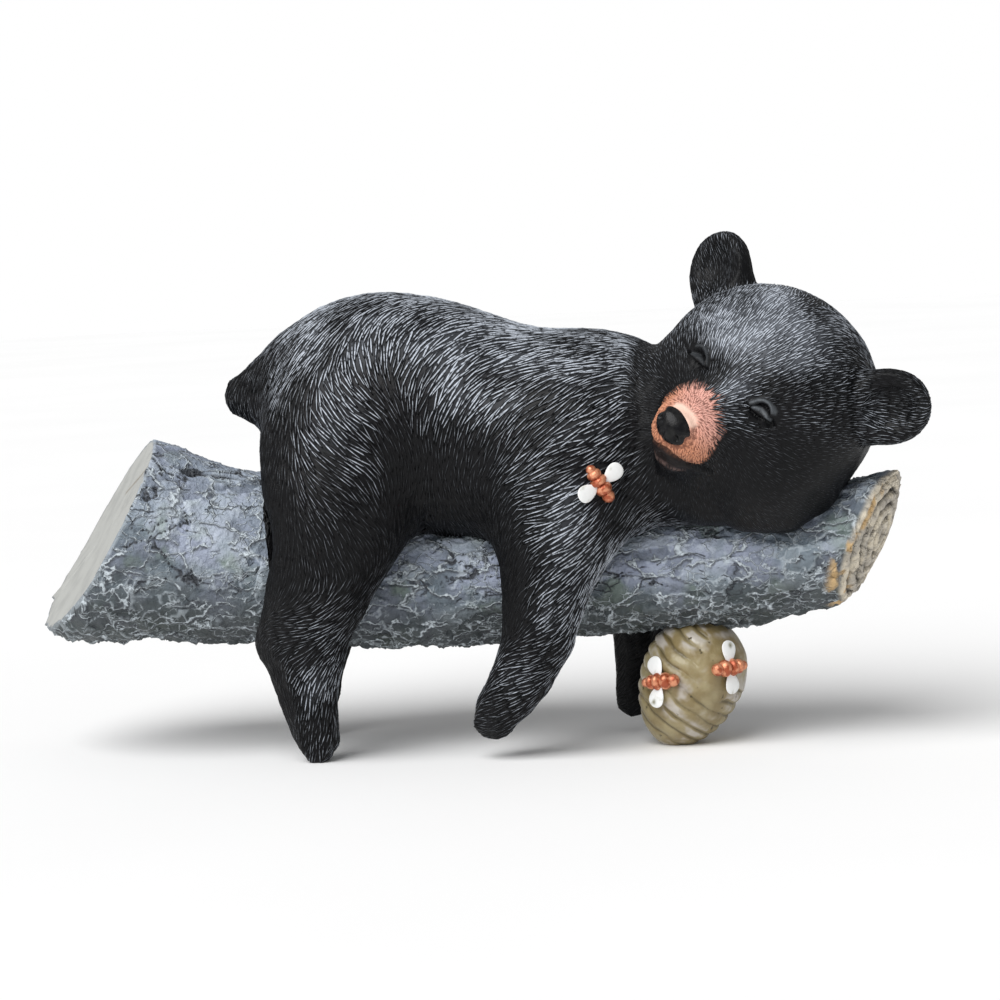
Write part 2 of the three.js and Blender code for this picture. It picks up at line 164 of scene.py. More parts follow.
def branch_line(x):
    """Depth, height and radius of the branch's middle at each x."""
    fine = np.arange(-210.0, 200.0)
    kernel = np.hanning(2 * BEND_SOFTNESS + 1)
    places_along, *columns = zip(*BRANCH_STATIONS)
    found = []
    for column in columns:
        drawn = np.pad(np.interp(fine, places_along, column), BEND_SOFTNESS, mode="edge")
        found.append(np.interp(x, fine, np.convolve(drawn, kernel / kernel.sum(), "valid")))
    return found


def branch_point(x, angle, share):
    """The place at that x and angle round the branch, and at that share of its radius."""
    y, z, r = branch_line(x)
    return np.stack([x, y + share * r * np.cos(angle), z + share * r * np.sin(angle)], axis=-1)


def meets(cut, angle, share):
    """The x at which the line at that angle and share of the radius meets a cut."""
    kept = np.full_like(angle, 0.0)
    gone = np.full_like(angle, BRANCH_REACH * np.sign(cut[1][0]))
    for _ in range(30):
        middle = (kept + gone) / 2
        beyond = (branch_point(middle, angle, share) - cut[0]) @ cut[1] > 0
        gone = np.where(beyond, middle, gone)
        kept = np.where(beyond, kept, middle)
    return kept


def bark(x, angle):
    """Height of the bark over the branch's smooth form, its pale edges, its splits and a tone per plate."""
    round_place = np.stack([x, PATTERN_RADIUS * np.cos(angle), PATTERN_RADIUS * np.sin(angle)], axis=-1)
    drift = np.stack([lumps(round_place, 11, salt) for salt in (1, 2, 3)], axis=-1)
    wiggle = np.stack([lumps(round_place, 3.4, salt) for salt in (4, 5, 6)], axis=-1)
    warped = round_place + 4.0 * drift + 1.4 * wiggle
    edge, level = plates(warped, PLATE_SIZE, 11)
    rim = bell(edge, PLATE_RIM) * ramp(lumps(round_place, 14, 7), -0.7, 0.1)
    split, _ = plates(warped, SPLIT_SIZE, 31)
    split = bell(split, SPLIT_WIDTH) * ramp(lumps(round_place, 25, 8), 0.0, 0.35)
    flaking = lumps(round_place, 2.4, 9)
    under = ramp(-np.sin(angle), 0.55, 1.0)
    crack_angle = CRACK_ANGLE - CRACK_SLANT * (x - CRACK_X) + 4 * lumps(round_place, 5, 13)
    crack = bell(np.degrees(angle) - crack_angle, CRACK_WIDTH)
    crack *= ramp(x, *CRACK_STARTS) * (1 - ramp(x, *CRACK_ENDS))
    height = BOUGH_SWELL * lumps(round_place, 27, 10) + PLATE_STEP * (level - 0.5)
    height = height + PLATE_RIM_RISE * rim - SPLIT_DEPTH * split - CRACK_DEPTH * crack
    height += (0.4 + 0.7 * under) * flaking + 0.8 * under * lumps(round_place, 7, 12)
    return height, rim, np.maximum(split, crack), level


def paint(piece, name, values):
    """Keeps a value for each corner, for the finish to read."""
    layer = piece.data.attributes.new(name, "FLOAT", "POINT")
    layer.data.foreach_set("value", np.broadcast_to(values, len(piece.data.vertices)).astype(np.float32))


def close(piece):
    """Merges corners that lie together, turns the faces outwards and shades them smooth."""
    bpy.context.view_layer.objects.active = piece
    bpy.ops.object.mode_set(mode="EDIT")
    bpy.ops.mesh.select_all(action="SELECT")
    bpy.ops.mesh.remove_doubles(threshold=0.002 * MM)
    bpy.ops.mesh.normals_make_consistent(inside=False)
    bpy.ops.object.mode_set(mode="OBJECT")
    bpy.ops.object.shade_smooth()
    bpy.ops.object.select_all(action="DESELECT")


def settle(piece, slot, *nodes):
    """Puts the piece on the statue, in place of CAD nodes."""
    piece.select_set(False)
    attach(piece, "root")
    if nodes:
        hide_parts(*nodes)


angles = np.linspace(0, 2 * pi, BARK_ROUND + 1)
ends = []
for cut in (TRUNK_CUT, RING_CUT):
    at = meets(cut, angles, 1.0)
    for _ in range(3):
        at = meets(cut, angles, 1 + bark(at, angles)[0] / branch_line(at)[2])
    ends.append(at)
along = np.linspace(0, 1, BARK_ALONG + 1)[:, None]
bark_x = ends[0] + (ends[1] - ends[0]) * along
bark_angle = np.broadcast_to(angles, bark_x.shape)
bark_height, bark_rim, bark_split, bark_level = bark(bark_x, bark_angle)
bark_points = branch_point(bark_x, bark_angle, 1.0)
from_trunk = (bark_points - TRUNK_CUT[0]) @ -TRUNK_CUT[1]
from_ring = (bark_points - RING_CUT[0]) @ -RING_CUT[1]
worn = clamp(1 - from_trunk / WORN_LENGTH) ** 2
bark_height -= WORN_DEPTH * worn * ramp(-np.sin(bark_angle), 0.1, 0.8)
bark_height -= RING_ROUNDING * clamp(1 - from_ring / RING_ROUNDING_LENGTH) ** 2
bark_share = 1 + bark_height / branch_line(bark_x)[2]
bark_points = branch_point(bark_x, bark_angle, bark_share)


def face_rows(cut, rim, shares):
    """The middle of a cut end, and rows of points across it, at those shares of the way out to its rim."""
    middle = branch_point(meets(cut, angles[:1], 0.0), angles[:1], 0.0)
    return middle, middle + (rim - middle) * shares[:, None, None]


ring_shares = np.linspace(1, 0, RING_ROWS + 1)[1:]
ring_middle, ring_rows = face_rows(RING_CUT, bark_points[-1], ring_shares)
_, trunk_rows = face_rows(TRUNK_CUT, bark_points[0], np.linspace(0, 1, TRUNK_ROWS, endpoint=False))
ring_place = ring_rows - ring_middle
ring_wave = 0.06 * lumps(ring_place, 12, 3) + 0.02 * lumps(ring_place, 5, 4)
ring_phase = ring_shares[:, None] + ring_wave * ramp(ring_shares, 0, 0.3)[:, None]
ring_groove = clamp(np.sin(2 * pi * RING_COUNT * ring_phase) + 0.1)
ring_groove *= ramp(1 - ring_shares, 0.02, 0.1)[:, None] * ramp(lumps(ring_place, 7, 5), -0.9, -0.2)
ring_relief = ring_groove * RING_DEPTH + 0.2 * lumps(ring_place, 3, 15)
ring_relief -= RING_DOME * (1 - ring_shares[:, None] ** 2.5)
ring_rows = ring_rows - ring_relief[..., None] * RING_CUT[1]

branch_points = np.concatenate([trunk_rows, bark_points, ring_rows])


def by_row(trunk, middle, ring):
    """A value for each corner of the branch, from those of its trunk end, its bark and its ringed end."""
    parts = (trunk, len(trunk_rows)), (middle, len(bark_points)), (ring, len(ring_rows))
    return np.concatenate([np.broadcast_to(v, (count, BARK_ROUND + 1)) for v, count in parts]).ravel()


rows, columns = branch_points.shape[:2]
bpy.ops.mesh.primitive_grid_add(x_subdivisions=columns - 1, y_subdivisions=rows - 1)
branch = bpy.context.object
branch.name = "branch_bark"
branch.data.vertices.foreach_set("co", (branch_points * MM).ravel())
facing = ramp(-np.cos(bark_angle), -0.1, 0.3)
blocks = ramp(lumps(bark_points * (1, 1, 0.6), 4.0, 23), 0.0, 0.12)
ochre = blocks * (1 - ramp(from_ring, 4, 8)) * facing * (bark_points[..., 2] < OCHRE_TOP)
ring_ochre = ramp(lumps(ring_rows, 5, 21), 0.1, 0.3) * ramp(ring_shares, 0.8, 0.9)[:, None]
ring_ochre *= ramp(-np.cos(angles), 0.2, 0.5)
trunk_crack = near_line(trunk_rows.reshape(-1, 3), *TRUNK_CRACK).reshape(trunk_rows.shape[:2])
for name, *values in (
    ("trunk_cut", 1, 0, 0),
    ("ring_cut", 0, 1 - ramp(from_ring, 0.5, 3), 1),
    ("pale", 0, bark_rim + 0.8 * (1 - ramp(from_trunk, 0.6, 2.5)), 0),
    ("split", 0.9 * bell(trunk_crack, TRUNK_CRACK_WIDTH), bark_split, 0),
    ("level", 0.5, bark_level, 0.5),
    ("groove", 0, 0, ring_groove),
    ("ochre", 0, ochre, ring_ochre),
    # Painted shade: the bark is painted darker towards its underside.
    ("under", 0, ramp(-np.sin(bark_angle) - 0.12 * bark_rim, -0.3, 0.75), 0),
    # Painted light: the top of the branch is painted lighter, most of all towards the trunk end.
    ("upper", 0, ramp(np.sin(bark_angle), 0.1, 0.8) * (1 - 0.55 * ramp(bark_x, -110, -60)), 0),
):
    paint(branch, name, by_row(*values))
close(branch)


def finish(name, roughness, **settings):
    """A new finish: its node tree and its shader."""
    made = bpy.data.materials.new(name)
    made.use_nodes = True
    shader = made.node_tree.nodes["Principled BSDF"]
    shader.inputs["Roughness"].default_value = roughness
    for socket, value in settings.items():
        shader.inputs[socket.replace("_", " ")].default_value = value
    return made.node_tree, shader


def node(tree, kind, inputs=None, **settings):
    """A new node of that kind, with its inputs linked or set."""
    made = tree.nodes.new("ShaderNode" + kind)
    for name, value in settings.items():
        setattr(made, name, value)
    for socket, value in (inputs or {}).items():
        if isinstance(value, bpy.types.NodeSocket):
            tree.links.new(value, made.inputs[socket])
        else:
            made.inputs[socket].default_value = value
    return made


def painted(tree, name):
    """A value that paint has kept on the piece."""
    return node(tree, "Attribute", attribute_name=name).outputs["Fac"]


def speckle(tree, scale, low, high, detail=3.0):
    """Noise on the object's own place, as a share from 0 to 1."""
    place = node(tree, "TexCoord").outputs["Object"]
    noise = node(tree, "TexNoise", {"Vector": place, "Scale": scale, "Detail": detail})
    return spread(tree, noise.outputs["Fac"], low, high)


def spread(tree, value, low, high):
    """A node's own ramp: 0 at low and 1 at high."""
    inputs = {"Value": value, "From Min": low, "From Max": high}
    return node(tree, "MapRange", inputs, interpolation_type="SMOOTHSTEP").outputs[0]


def maths(tree, operation, *values):
    return node(tree, "Math", dict(enumerate(values)), operation=operation).outputs[0]


def times(tree, a, b):
    return maths(tree, "MULTIPLY", a, b)


def over(tree, share, below, above):
    """One colour over another, by a share."""
    # The colours of a Mix node are its inputs 6 and 7 and its output 2
    a, b = (v if isinstance(v, bpy.types.NodeSocket) else (*v, 1) for v in (below, above))
    return node(tree, "Mix", {0: share, 6: a, 7: b}, data_type="RGBA").outputs[2]


def colour_in(tree, shader, hue, height, strength, distance):
    """Gives a finish its colour, and fine relief of that height, with its depth in millimetres."""
    tree.links.new(hue, shader.inputs["Base Color"])
    bump = node(tree, "Bump", {"Height": height, "Strength": strength, "Distance": distance * MM})
    tree.links.new(bump.outputs[0], shader.inputs["Normal"])


def wear(piece, tree):
    """Puts the finish that the tree belongs to on the piece."""
    piece.data.materials.append(next(m for m in bpy.data.materials if m.node_tree == tree))


SLATE = (0.165, 0.21, 0.255)
LILAC = (0.27, 0.305, 0.40)
PAINTED_TOP_LIGHT = (0.33, 0.375, 0.475)
LICHEN = (0.16, 0.21, 0.19)
SLATE_SHADE = (0.055, 0.07, 0.085)
PALE_EDGE = (0.62, 0.69, 0.74)
DARK_CRACK_AND_SHADOW = (0.035, 0.04, 0.05)
OLIVE_PAINTED_SHADE = (0.026, 0.034, 0.032)
CREAM = (0.43, 0.435, 0.415)
CREAM_SHADE = (0.36, 0.365, 0.35)
CREAM_CRACK = (0.19, 0.155, 0.11)
RING_TAN = (0.72, 0.645, 0.51)
RING_GREY = (0.46, 0.42, 0.355)
RING_DARK = (0.04, 0.034, 0.026)
OCHRE = (0.60, 0.41, 0.20)

tree, shader = finish("painted_bark", 0.55)


def flake_edges(tree, scale, width, drop, stretch):
    """Thin raised lips round flakes of bark, as a share from 0 to 1, moved down by a drop in millimetres."""
    place = node(tree, "TexCoord").outputs["Object"]
    place = node(tree, "VectorMath", {0: place, 1: (0, 0, drop * MM)}).outputs[0]
    coarse = node(tree, "TexNoise", {"Vector": place, "Scale": 70, "Detail": 4, "Roughness": 0.58})
    pushed = node(tree, "VectorMath", {0: coarse.outputs["Color"], "Scale": 0.013}, operation="SCALE")
    place = node(tree, "VectorMath", {0: place, 1: pushed.outputs[0]}).outputs[0]
    place = node(tree, "Mapping", {"Vector": place, "Scale": (stretch, 1, 1)}).outputs[0]
    cells = node(tree, "TexVoronoi", {"Vector": place, "Scale": scale}, feature="DISTANCE_TO_EDGE")
    return spread(tree, cells.outputs["Distance"], width, 0)


def patchy(tree, scale, low, high, value):
    """The value, in scattered patches alone."""
    return times(tree, value, speckle(tree, scale, low, high))


lips = patchy(tree, 150, 0.42, 0.52, flake_edges(tree, 115, 0.05, 0, 0.38))
small_lips = patchy(tree, 120, 0.47, 0.56, flake_edges(tree, 240, 0.08, 0, 0.6))
# Painted shadow: the lips' edges again, wider and 0.7 mm lower, painted dark as the shadow under each lip.
wash_and_shadow = patchy(tree, 150, 0.40, 0.5, flake_edges(tree, 115, 0.10, 0.7, 0.38))
cracks = patchy(tree, 80, 0.54, 0.6, flake_edges(tree, 95, 0.035, 0, 0.17))
hue = over(tree, speckle(tree, 45, 0.42, 0.6), SLATE, LILAC)
hue = over(tree, speckle(tree, 55, 0.55, 0.68), hue, LICHEN)
for share, strength, colour in (
    (speckle(tree, 240, 0.5, 0.75), 0.3, PALE_EDGE),
    (speckle(tree, 130, 0.5, 0.7), 0.6, SLATE_SHADE),
    # painted light on the top of the branch
    (painted(tree, "upper"), 0.5, PAINTED_TOP_LIGHT),
    (spread(tree, painted(tree, "level"), 0.5, 1), 0.25, PALE_EDGE),
    (spread(tree, painted(tree, "level"), 0.5, 0), 0.45, SLATE_SHADE),
    # painted shade on the underside of the branch
    (painted(tree, "under"), 0.9, OLIVE_PAINTED_SHADE),
    # painted shadow under the lips
    (wash_and_shadow, 0.8, DARK_CRACK_AND_SHADOW),
    (spread(tree, painted(tree, "pale"), 0.3, 0.95), 0.35, PALE_EDGE),
    (small_lips, 0.55, PALE_EDGE),
    (lips, 0.9, PALE_EDGE),
    (cracks, 0.85, DARK_CRACK_AND_SHADOW),
):
    hue = over(tree, times(tree, share, strength), hue, colour)
hue = over(tree, spread(tree, painted(tree, "split"), 0.2, 0.8), hue, DARK_CRACK_AND_SHADOW)
cream = over(tree, speckle(tree, 90, 0.4, 0.7), CREAM, CREAM_SHADE)
cream = over(tree, painted(tree, "split"), cream, CREAM_CRACK)
hue = over(tree, painted(tree, "trunk_cut"), hue, cream)
rings = over(tree, speckle(tree, 130, 0.4, 0.6), RING_TAN, RING_GREY)
rings = over(tree, spread(tree, painted(tree, "groove"), 0.2, 0.95), rings, RING_DARK)
hue = over(tree, painted(tree, "ring_cut"), hue, rings)
hue = over(tree, painted(tree, "ochre"), hue, OCHRE)
relief = maths(tree, "ADD", maths(tree, "ADD", lips, small_lips), speckle(tree, 500, 0.2, 0.8, 5.0))
relief = maths(tree, "SUBTRACT", relief, cracks)
relief = times(tree, relief, spread(tree, painted(tree, "trunk_cut"), 1, 0))
colour_in(tree, shader, hue, relief, 1.0, 0.6)
wear(branch, tree)
settle(branch, "painted_bark", "branch")

# Bear: one casting, painted near-black all over and then dry-brushed with grey, so that the raised fur
# strokes show. The muzzle is tan, the nose pad glossy black, and the eyes are closed.

HEAD_CENTRE = np.array((120.5, -9.9, 138.4))
HEAD_TILT, HEAD_NOD, HEAD_TURN = radians(38), radians(-5), radians(-20)
nodded = Matrix.Rotation(HEAD_NOD, 3, "X") @ Matrix.Rotation(HEAD_TILT, 3, "Y")
head_axes = np.array(Matrix.Rotation(HEAD_TURN, 3, "Z") @ nodded)
SKIN_GRAIN = 0.72
SKIN_IRONING = 40
IRON_IN, IRON_OUT = 0.6, -0.615  # each round draws the skin in and lets it out again
SKIN_FACES = 120_000


def in_head(points):
    """Places in the head's own frame: the face looks along -Y, and Z is up to the crown."""
    return (points - HEAD_CENTRE) @ head_axes


def from_head(local):
    """Places in the statue's frame, from those in the head's."""
    return local @ head_axes.T + HEAD_CENTRE


def bell_at(points, middle, size):
    """1 at a place, falling off over its own size in each direction."""
    return np.exp(-(((points - middle) / size) ** 2).sum(-1))


def places(piece):
    """Where a piece's corners are, in millimetres."""
    flat = np.empty(len(piece.data.vertices) * 3, np.float32)
    piece.data.vertices.foreach_get("co", flat)
    return flat.reshape(-1, 3).astype(float) / MM


def place_all(piece, points):
    piece.data.vertices.foreach_set("co", (points * MM).astype(np.float32).ravel())
    piece.data.update()


def outward(piece):
    """The way that the surface faces at each corner."""
    flat = np.empty(len(piece.data.vertices) * 3, np.float32)
    piece.data.vertex_normals.foreach_get("vector", flat)
    return flat.reshape(-1, 3).astype(float)


def modify(piece, kind, **settings):
    bpy.context.view_layer.objects.active = piece
    modifier = piece.modifiers.new(kind, kind)
    for name, value in settings.items():
        setattr(modifier, name, value)
    bpy.ops.object.modifier_apply(modifier=modifier.name)


def another(piece):
    """A copy with a mesh of its own."""
    made = piece.copy()
    made.data = piece.data.copy()
    bpy.context.scene.collection.objects.link(made)
    return made


def even_out(piece, rounds):
    """Irons facets out without shrinking the form."""
    points = places(piece)
    pairs = np.empty(len(piece.data.edges) * 2, np.int32)
    piece.data.edges.foreach_get("vertices", pairs)
    a, b = pairs.reshape(-1, 2).T
    count = np.bincount(np.concatenate([a, b]), minlength=len(points))[:, None]
    for turn in range(2 * rounds):
        total = np.zeros_like(points)
        for k in range(3):
            total[:, k] += np.bincount(a, points[b, k], len(points))
            total[:, k] += np.bincount(b, points[a, k], len(points))
        points += (IRON_IN if turn % 2 == 0 else IRON_OUT) * (total / count - points)
    place_all(piece, points)


skin = another(frame["nodes"]["bear"])
skin.data.materials.clear()
skin.name = "bear_skin"
skin.parent = None
for key in list(skin.keys()):
    del skin[key]
close(skin)
modify(skin, "REMESH", mode="VOXEL", voxel_size=SKIN_GRAIN * MM)
even_out(skin, SKIN_IRONING)

PRESSES = (  # place, how far it reaches, and how far it stands out
    (-92, -30, 117, 14, -4.2), (-85, -35, 93, 14, -7.0), (-88, -36, 53, 11, 2.4),
    (-56, -36, 60, 8, -3.2), (-54, -36, 42, 8, 1.8), (98, -24, 95, 9, 3.5),
    (115, -27, 92, 10, 4.5), (132, -25, 93, 9, 4.5), (146, -19, 99, 8, 3.0),
)
EYE_FORMS = (  # across and up the face, how wide and how high, and how far it stands out
    (18, 9.5, 8.5, 5.5, -2.3),
    (17.6, 8.3, 4.6, 1.7, 1.5),
    (17, 21, 9, 4, 0.9),
)
# The line of each is given across and up the face, for the lower eye, and mirrored for the other
LID_FOLD = ((12.2, 9.4), (13.9, 11.9), (15.9, 13.4), (18.3, 13.8), (20.1, 13.2), (21.9, 11.6))
LID_GAP = ((13.0, 9.0), (15.4, 11.0), (18.0, 11.5), (20.4, 10.8), (22.4, 9.0), (24.5, 6.5))
LID_EDGE = ((14.0, 8.6), (16.1, 9.4), (17.8, 9.5), (19.8, 9.0), (21.4, 8.2))
LID_SLIT = ((11.0, 7.8), (13.8, 7.2), (16.0, 6.5), (18.5, 6.0), (20.7, 6.1), (23.5, 6.0))
LID_CUTS = ((LID_FOLD, 0.9, 1.1), (LID_GAP, 0.8, -1.0), (LID_SLIT, 0.75, -1.2))  # line, width and height
LID_HIGHLIGHT_WIDTH = 0.6
MOUTH = (
    (-15, -36, -20), (-12.5, -44, -22), (-8, -50, -23.5), (-3, -54, -23),
    (2, -55.5, -21.5), (6, -53, -22.3), (11, -45, -23), (14, -37, -23),
)
MOUTH_WIDTH = 1.3
MOUTH_DEPTH = 1.9
LOWER_LIP = ((-12, -40, -28), (-3.8, -48, -28.6), (1, -49.4, -28.4), (5.2, -47.8, -28.1), (8.5, -43, -27))

BRIDGE_AT = (0, -59, -7.5)
BRIDGE_SIZE = (9, 6, 4.2)
BRIDGE_DEPTH = 3.2

points = places(skin)
local = in_head(points)
face = local[:, ::2]
front = ramp(-local[:, 1], 18, 26)
lift = np.zeros(len(local))
for *middle, reach, height in PRESSES:
    lift += height * np.exp(-((points - middle) ** 2).sum(-1) / reach**2)
for side in (-1, 1):
    eye = face * (side, 1)
    shaped = 0
    for across, up, wide, high, height in EYE_FORMS:
        shaped = shaped + height * bell_at(eye, (across, up), (wide, high))
    for line, width, height in LID_CUTS:
        shaped += height * bell(near_line(eye, *line), width)
    lift += front * shaped
lift -= MOUTH_DEPTH * bell(near_line(local, *MOUTH), MOUTH_WIDTH)
lift -= BRIDGE_DEPTH * bell_at(local, BRIDGE_AT, BRIDGE_SIZE)
place_all(skin, points + lift[:, None] * outward(skin))
modify(skin, "DECIMATE", ratio=SKIN_FACES / (2 * len(skin.data.polygons)))
bpy.ops.object.shade_smooth()

NOSE_AT = np.array((-0.7, -55.9, -12.4))
MUZZLE_EDGE = 41.8  # how far forward of the head's middle the tan starts
MUZZLE_REACH = 18
BARE_AT = (-1, -56, -6.2)
BARE_SIZE = (7.5, 6, 3.2)


def tan_share(local):
    """1 on the tan muzzle and 0 on the black face."""
    ragged = 1.2 * lumps(local, 5, 41) + 1.2 * lumps(local, 1.5, 42)
    edge = -local[:, 1] - MUZZLE_EDGE - 0.15 * local[:, 0] + ragged
    near = near_line(local, (0, -24, -12), (0, -55, -13)) < MUZZLE_REACH
    return ramp(edge, -1.0, 1.0) * near


def bare_share(local):
    """1 on the smooth bridge over the nose pad, which carries a painted highlight in pale pink."""
    return ramp(-length((local - BARE_AT) / BARE_SIZE), -1.25, -0.85)


def lip_and_under_shade_share(local):
    """1 on the dark lips and chin, and on the painted shade under the muzzle, which reaches higher on the -X
    side.
    """
    below = ramp(-local[:, 2] - 0.25 * clamp(-local[:, 0], 0, 12), 19.0, 23.5)
    return np.maximum(below, bell(near_line(local, *MOUTH), 1.2))


def pink_share(local):
    """1 where the muzzle is pinker, towards the eyes."""
    return ramp(local[:, 2] + 0.3 * local[:, 0], -14, 0)


skin_local = in_head(places(skin))
paint(skin, "tan", tan_share(skin_local))
# Painted highlight: the smooth bridge over the nose pad is painted pale.
paint(skin, "bare", bare_share(skin_local))
# Painted shade: the underside of the muzzle is painted dark along with the lips and chin.
paint(skin, "lip", lip_and_under_shade_share(skin_local))
paint(skin, "pink", pink_share(skin_local))
paint(skin, "mouth", bell(near_line(skin_local, *MOUTH), 1.1))
paint(skin, "lip_rim", bell(near_line(skin_local, *LOWER_LIP), 0.9))
# Grey is brushed along the lid folds and lid edges, and also serves as their painted highlight, weaker on
# the other eye.
brushed_lid_highlight = 0
for side in (-1, 1):
    eye = skin_local[:, ::2] * (side, 1)
    edge = np.minimum(near_line(eye, *LID_FOLD), near_line(eye, *LID_EDGE))
    brushed_lit_edge = bell(edge, LID_HIGHLIGHT_WIDTH) * (skin_local[:, 1] < -20)
    brushed_lid_highlight = brushed_lid_highlight + (0.7 + 0.3 * side) * brushed_lit_edge
paint(skin, "lid_highlight", clamp(brushed_lid_highlight))

FUR_BLACK = (0.0035, 0.0036, 0.0043)
FUR_WASH = (0.14, 0.152, 0.175)
FUR_GREY = (0.55, 0.595, 0.665)
MUZZLE_TAN = (0.62, 0.27, 0.155)
MUZZLE_PINK = (0.78, 0.42, 0.345)
MUZZLE_BRIDGE_HIGHLIGHT = (0.84, 0.58, 0.47)
MUZZLE_DARK = (0.10, 0.03, 0.02)
LIP_DARK_AND_UNDER_SHADE = (0.012, 0.009, 0.009)
LIP_RIM = (0.15, 0.10, 0.09)
LID_GREY_HIGHLIGHT = (0.10, 0.11, 0.12)

tree, shader = finish("painted_fur_skin", 0.42, Specular_IOR_Level=0.16)
tan = over(tree, painted(tree, "pink"), MUZZLE_TAN, MUZZLE_PINK)
tan = over(tree, times(tree, speckle(tree, 900, 0.3, 0.6), 0.75), tan, MUZZLE_DARK)
for name, colour in (("bare", MUZZLE_BRIDGE_HIGHLIGHT), ("lip", LIP_DARK_AND_UNDER_SHADE), ("lip_rim", LIP_RIM), ("mouth", FUR_BLACK)):
    tan = over(tree, painted(tree, name), tan, colour)
black = over(tree, painted(tree, "wash_and_shadow"), FUR_BLACK, FUR_WASH)
# painted highlight on the lid folds and edges
black = over(tree, painted(tree, "lid_highlight"), black, LID_GREY_HIGHLIGHT)
hue = over(tree, painted(tree, "tan"), black, tan)
colour_in(tree, shader, hue, speckle(tree, 700, 0.2, 0.8), 0.4, 0.2)
wear(skin, tree)
settle(skin, "painted_fur", "bear")

# Fur: low pointed strokes that are carved all over the casting and follow the way the coat lies. They are
# separate closed ridges, sunk a little into the skin.

# x, z, the way the coat lies seen from the front, in degrees, and how much grey is brushed over it
COAT = (
    (38, 166, 200, 0.95), (4, 178, 198, 1.0), (-18, 186, 205, 0.9), (-40, 182, 225, 0.75),
    (-62, 174, 240, 0.6), (-78, 166, 245, 0.5), (-50, 164, 262, 0.85), (-62, 148, 268, 0.45),
    (-38, 160, 290, 0.85), (-40, 152, 310, 0.75), (-32, 144, 335, 0.6), (-48, 136, 315, 0.6),
    (-36, 126, 340, 0.5), (-40, 114, 325, 0.4), (-44, 102, 315, 0.3), (-26, 150, 300, 0.25),
    (-14, 158, 250, 0.7), (4, 156, 235, 0.85), (20, 158, 215, 0.8), (34, 160, 205, 0.85),
    (-2, 142, 245, 0.5), (16, 142, 235, 0.58), (34, 146, 215, 0.65), (8, 126, 250, 0.2),
    (38, 124, 215, 0.62), (38, 108, 195, 0.65), (-18, 122, 268, 0.0), (-18, 104, 270, 0.0),
    (8, 98, 300, 0.0), (-78, 132, 265, 0.1), (-74, 106, 265, 0.0), (-88, 152, 215, 0.05),
    (-38, 100, 325, 0.15), (-44, 90, 290, 0.15), (-68, 86, 265, 0.0), (-42, 66, 205, 0.3),
    (-62, 56, 180, 0.45), (-72, 54, 175, 0.1), (-58, 48, 208, 0.45), (-60, 40, 240, 0.6),
    (-60, 26, 258, 0.85), (-60, 14, 262, 0.35), (-72, 28, 260, 0.0), (-50, 22, 268, 0.0),
    (42, 106, 190, 0.65), (48, 96, 188, 0.65), (50, 90, 205, 0.65), (46, 80, 212, 0.65),
    (42, 64, 218, 0.62), (50, 64, 238, 0.55), (38, 50, 210, 0.6), (30, 36, 195, 0.55),
    (26, 26, 200, 0.5), (24, 18, 197, 0.45), (14, 10, 185, 0.1), (64, 98, 225, 0.35),
    (26, 80, 235, 0.0), (24, 62, 240, 0.0), (-76, 44, 262, 0.0), (-84, 70, 262, 0.0),
    (-4, 118, 262, 0.05), (22, 100, 240, 0.1), (-24, 134, 285, 0.1),
)
FACE_PATCHES = (  # across and up the face, how wide and how high, and how much grey
    (-9, 31, 22, 16, 0.9),
    (2, 10, 9, 7, 0.4),
    (14, 1, 8, 4.5, 0.45),
    (-34, 4, 13, 24, 0.24),
)
COAT_DEPTH = 42  # the coat is given this far in front of the middle, and the same behind it
HEAD_REACH = (52, 60)  # how far from the head's middle its fur gives way to the body's
EAR_REACH = (46, 50)
FACE_MIDDLE = (0, -50, -8)  # the head's fur runs out from here
EAR_HOLLOWS = ((41, 43, 8, 7.5), (-36, 41, 6, 10))  # across and up, how wide and how long
SKIN_SAMPLES = 260_000
BODY_LONG, BODY_WIDE = 13.5, 2.0
LEG_SHORTER, LEG_NARROWER = 3.0, 0.2
HEAD_LONG, HEAD_WIDE = 7.4, 1.45
MUZZLE_LONG, MUZZLE_WIDE = 3.2, 1.15
MUZZLE_TIP = 2.2  # a stroke is tan only where the skin this far along it is tan too
MUZZLE_RISE = 0.4
LEGS_BELOW = 112
SHOULDER_BEE_AT = (60.3, -43.2, 111.1)
STROKE_STATIONS = (-0.5, -0.22, 0.08, 0.34, 0.5)  # shares of a stroke's length, from root to tip
STROKE_WIDTHS = (0.8, 1.0, 0.72)
STROKE_RISES = (0.55, 1.0, 0.8)
STROKE_SUNK = 0.3
STROKE_CORNERS = 11  # the root, three corners at each of three stations, and the tip
STROKE_RIDGE = (0.0, 0, 0.8, 0, 0, 1.0, 0, 0, 0.9, 0, 0.35)  # how near each corner is to the ridge


def coat(points):
    """The way the coat lies at each point, and the share of grey, from the nearest places that state it."""
    total, grey, weights = 0, 0, 0
    for x, z, angle, share in COAT:
        for y in (-COAT_DEPTH, COAT_DEPTH):
            away = ((points - (x, y, z)) ** 2).sum(-1)
            weight = 1 / (away + 30) ** 2
            total = total + weight[:, None] * (cos(radians(angle)), 0, sin(radians(angle)))
            weight = 1 / (away + 60) ** 2.6
            grey = grey + weight * share
            weights = weights + weight
    return total, grey / weights


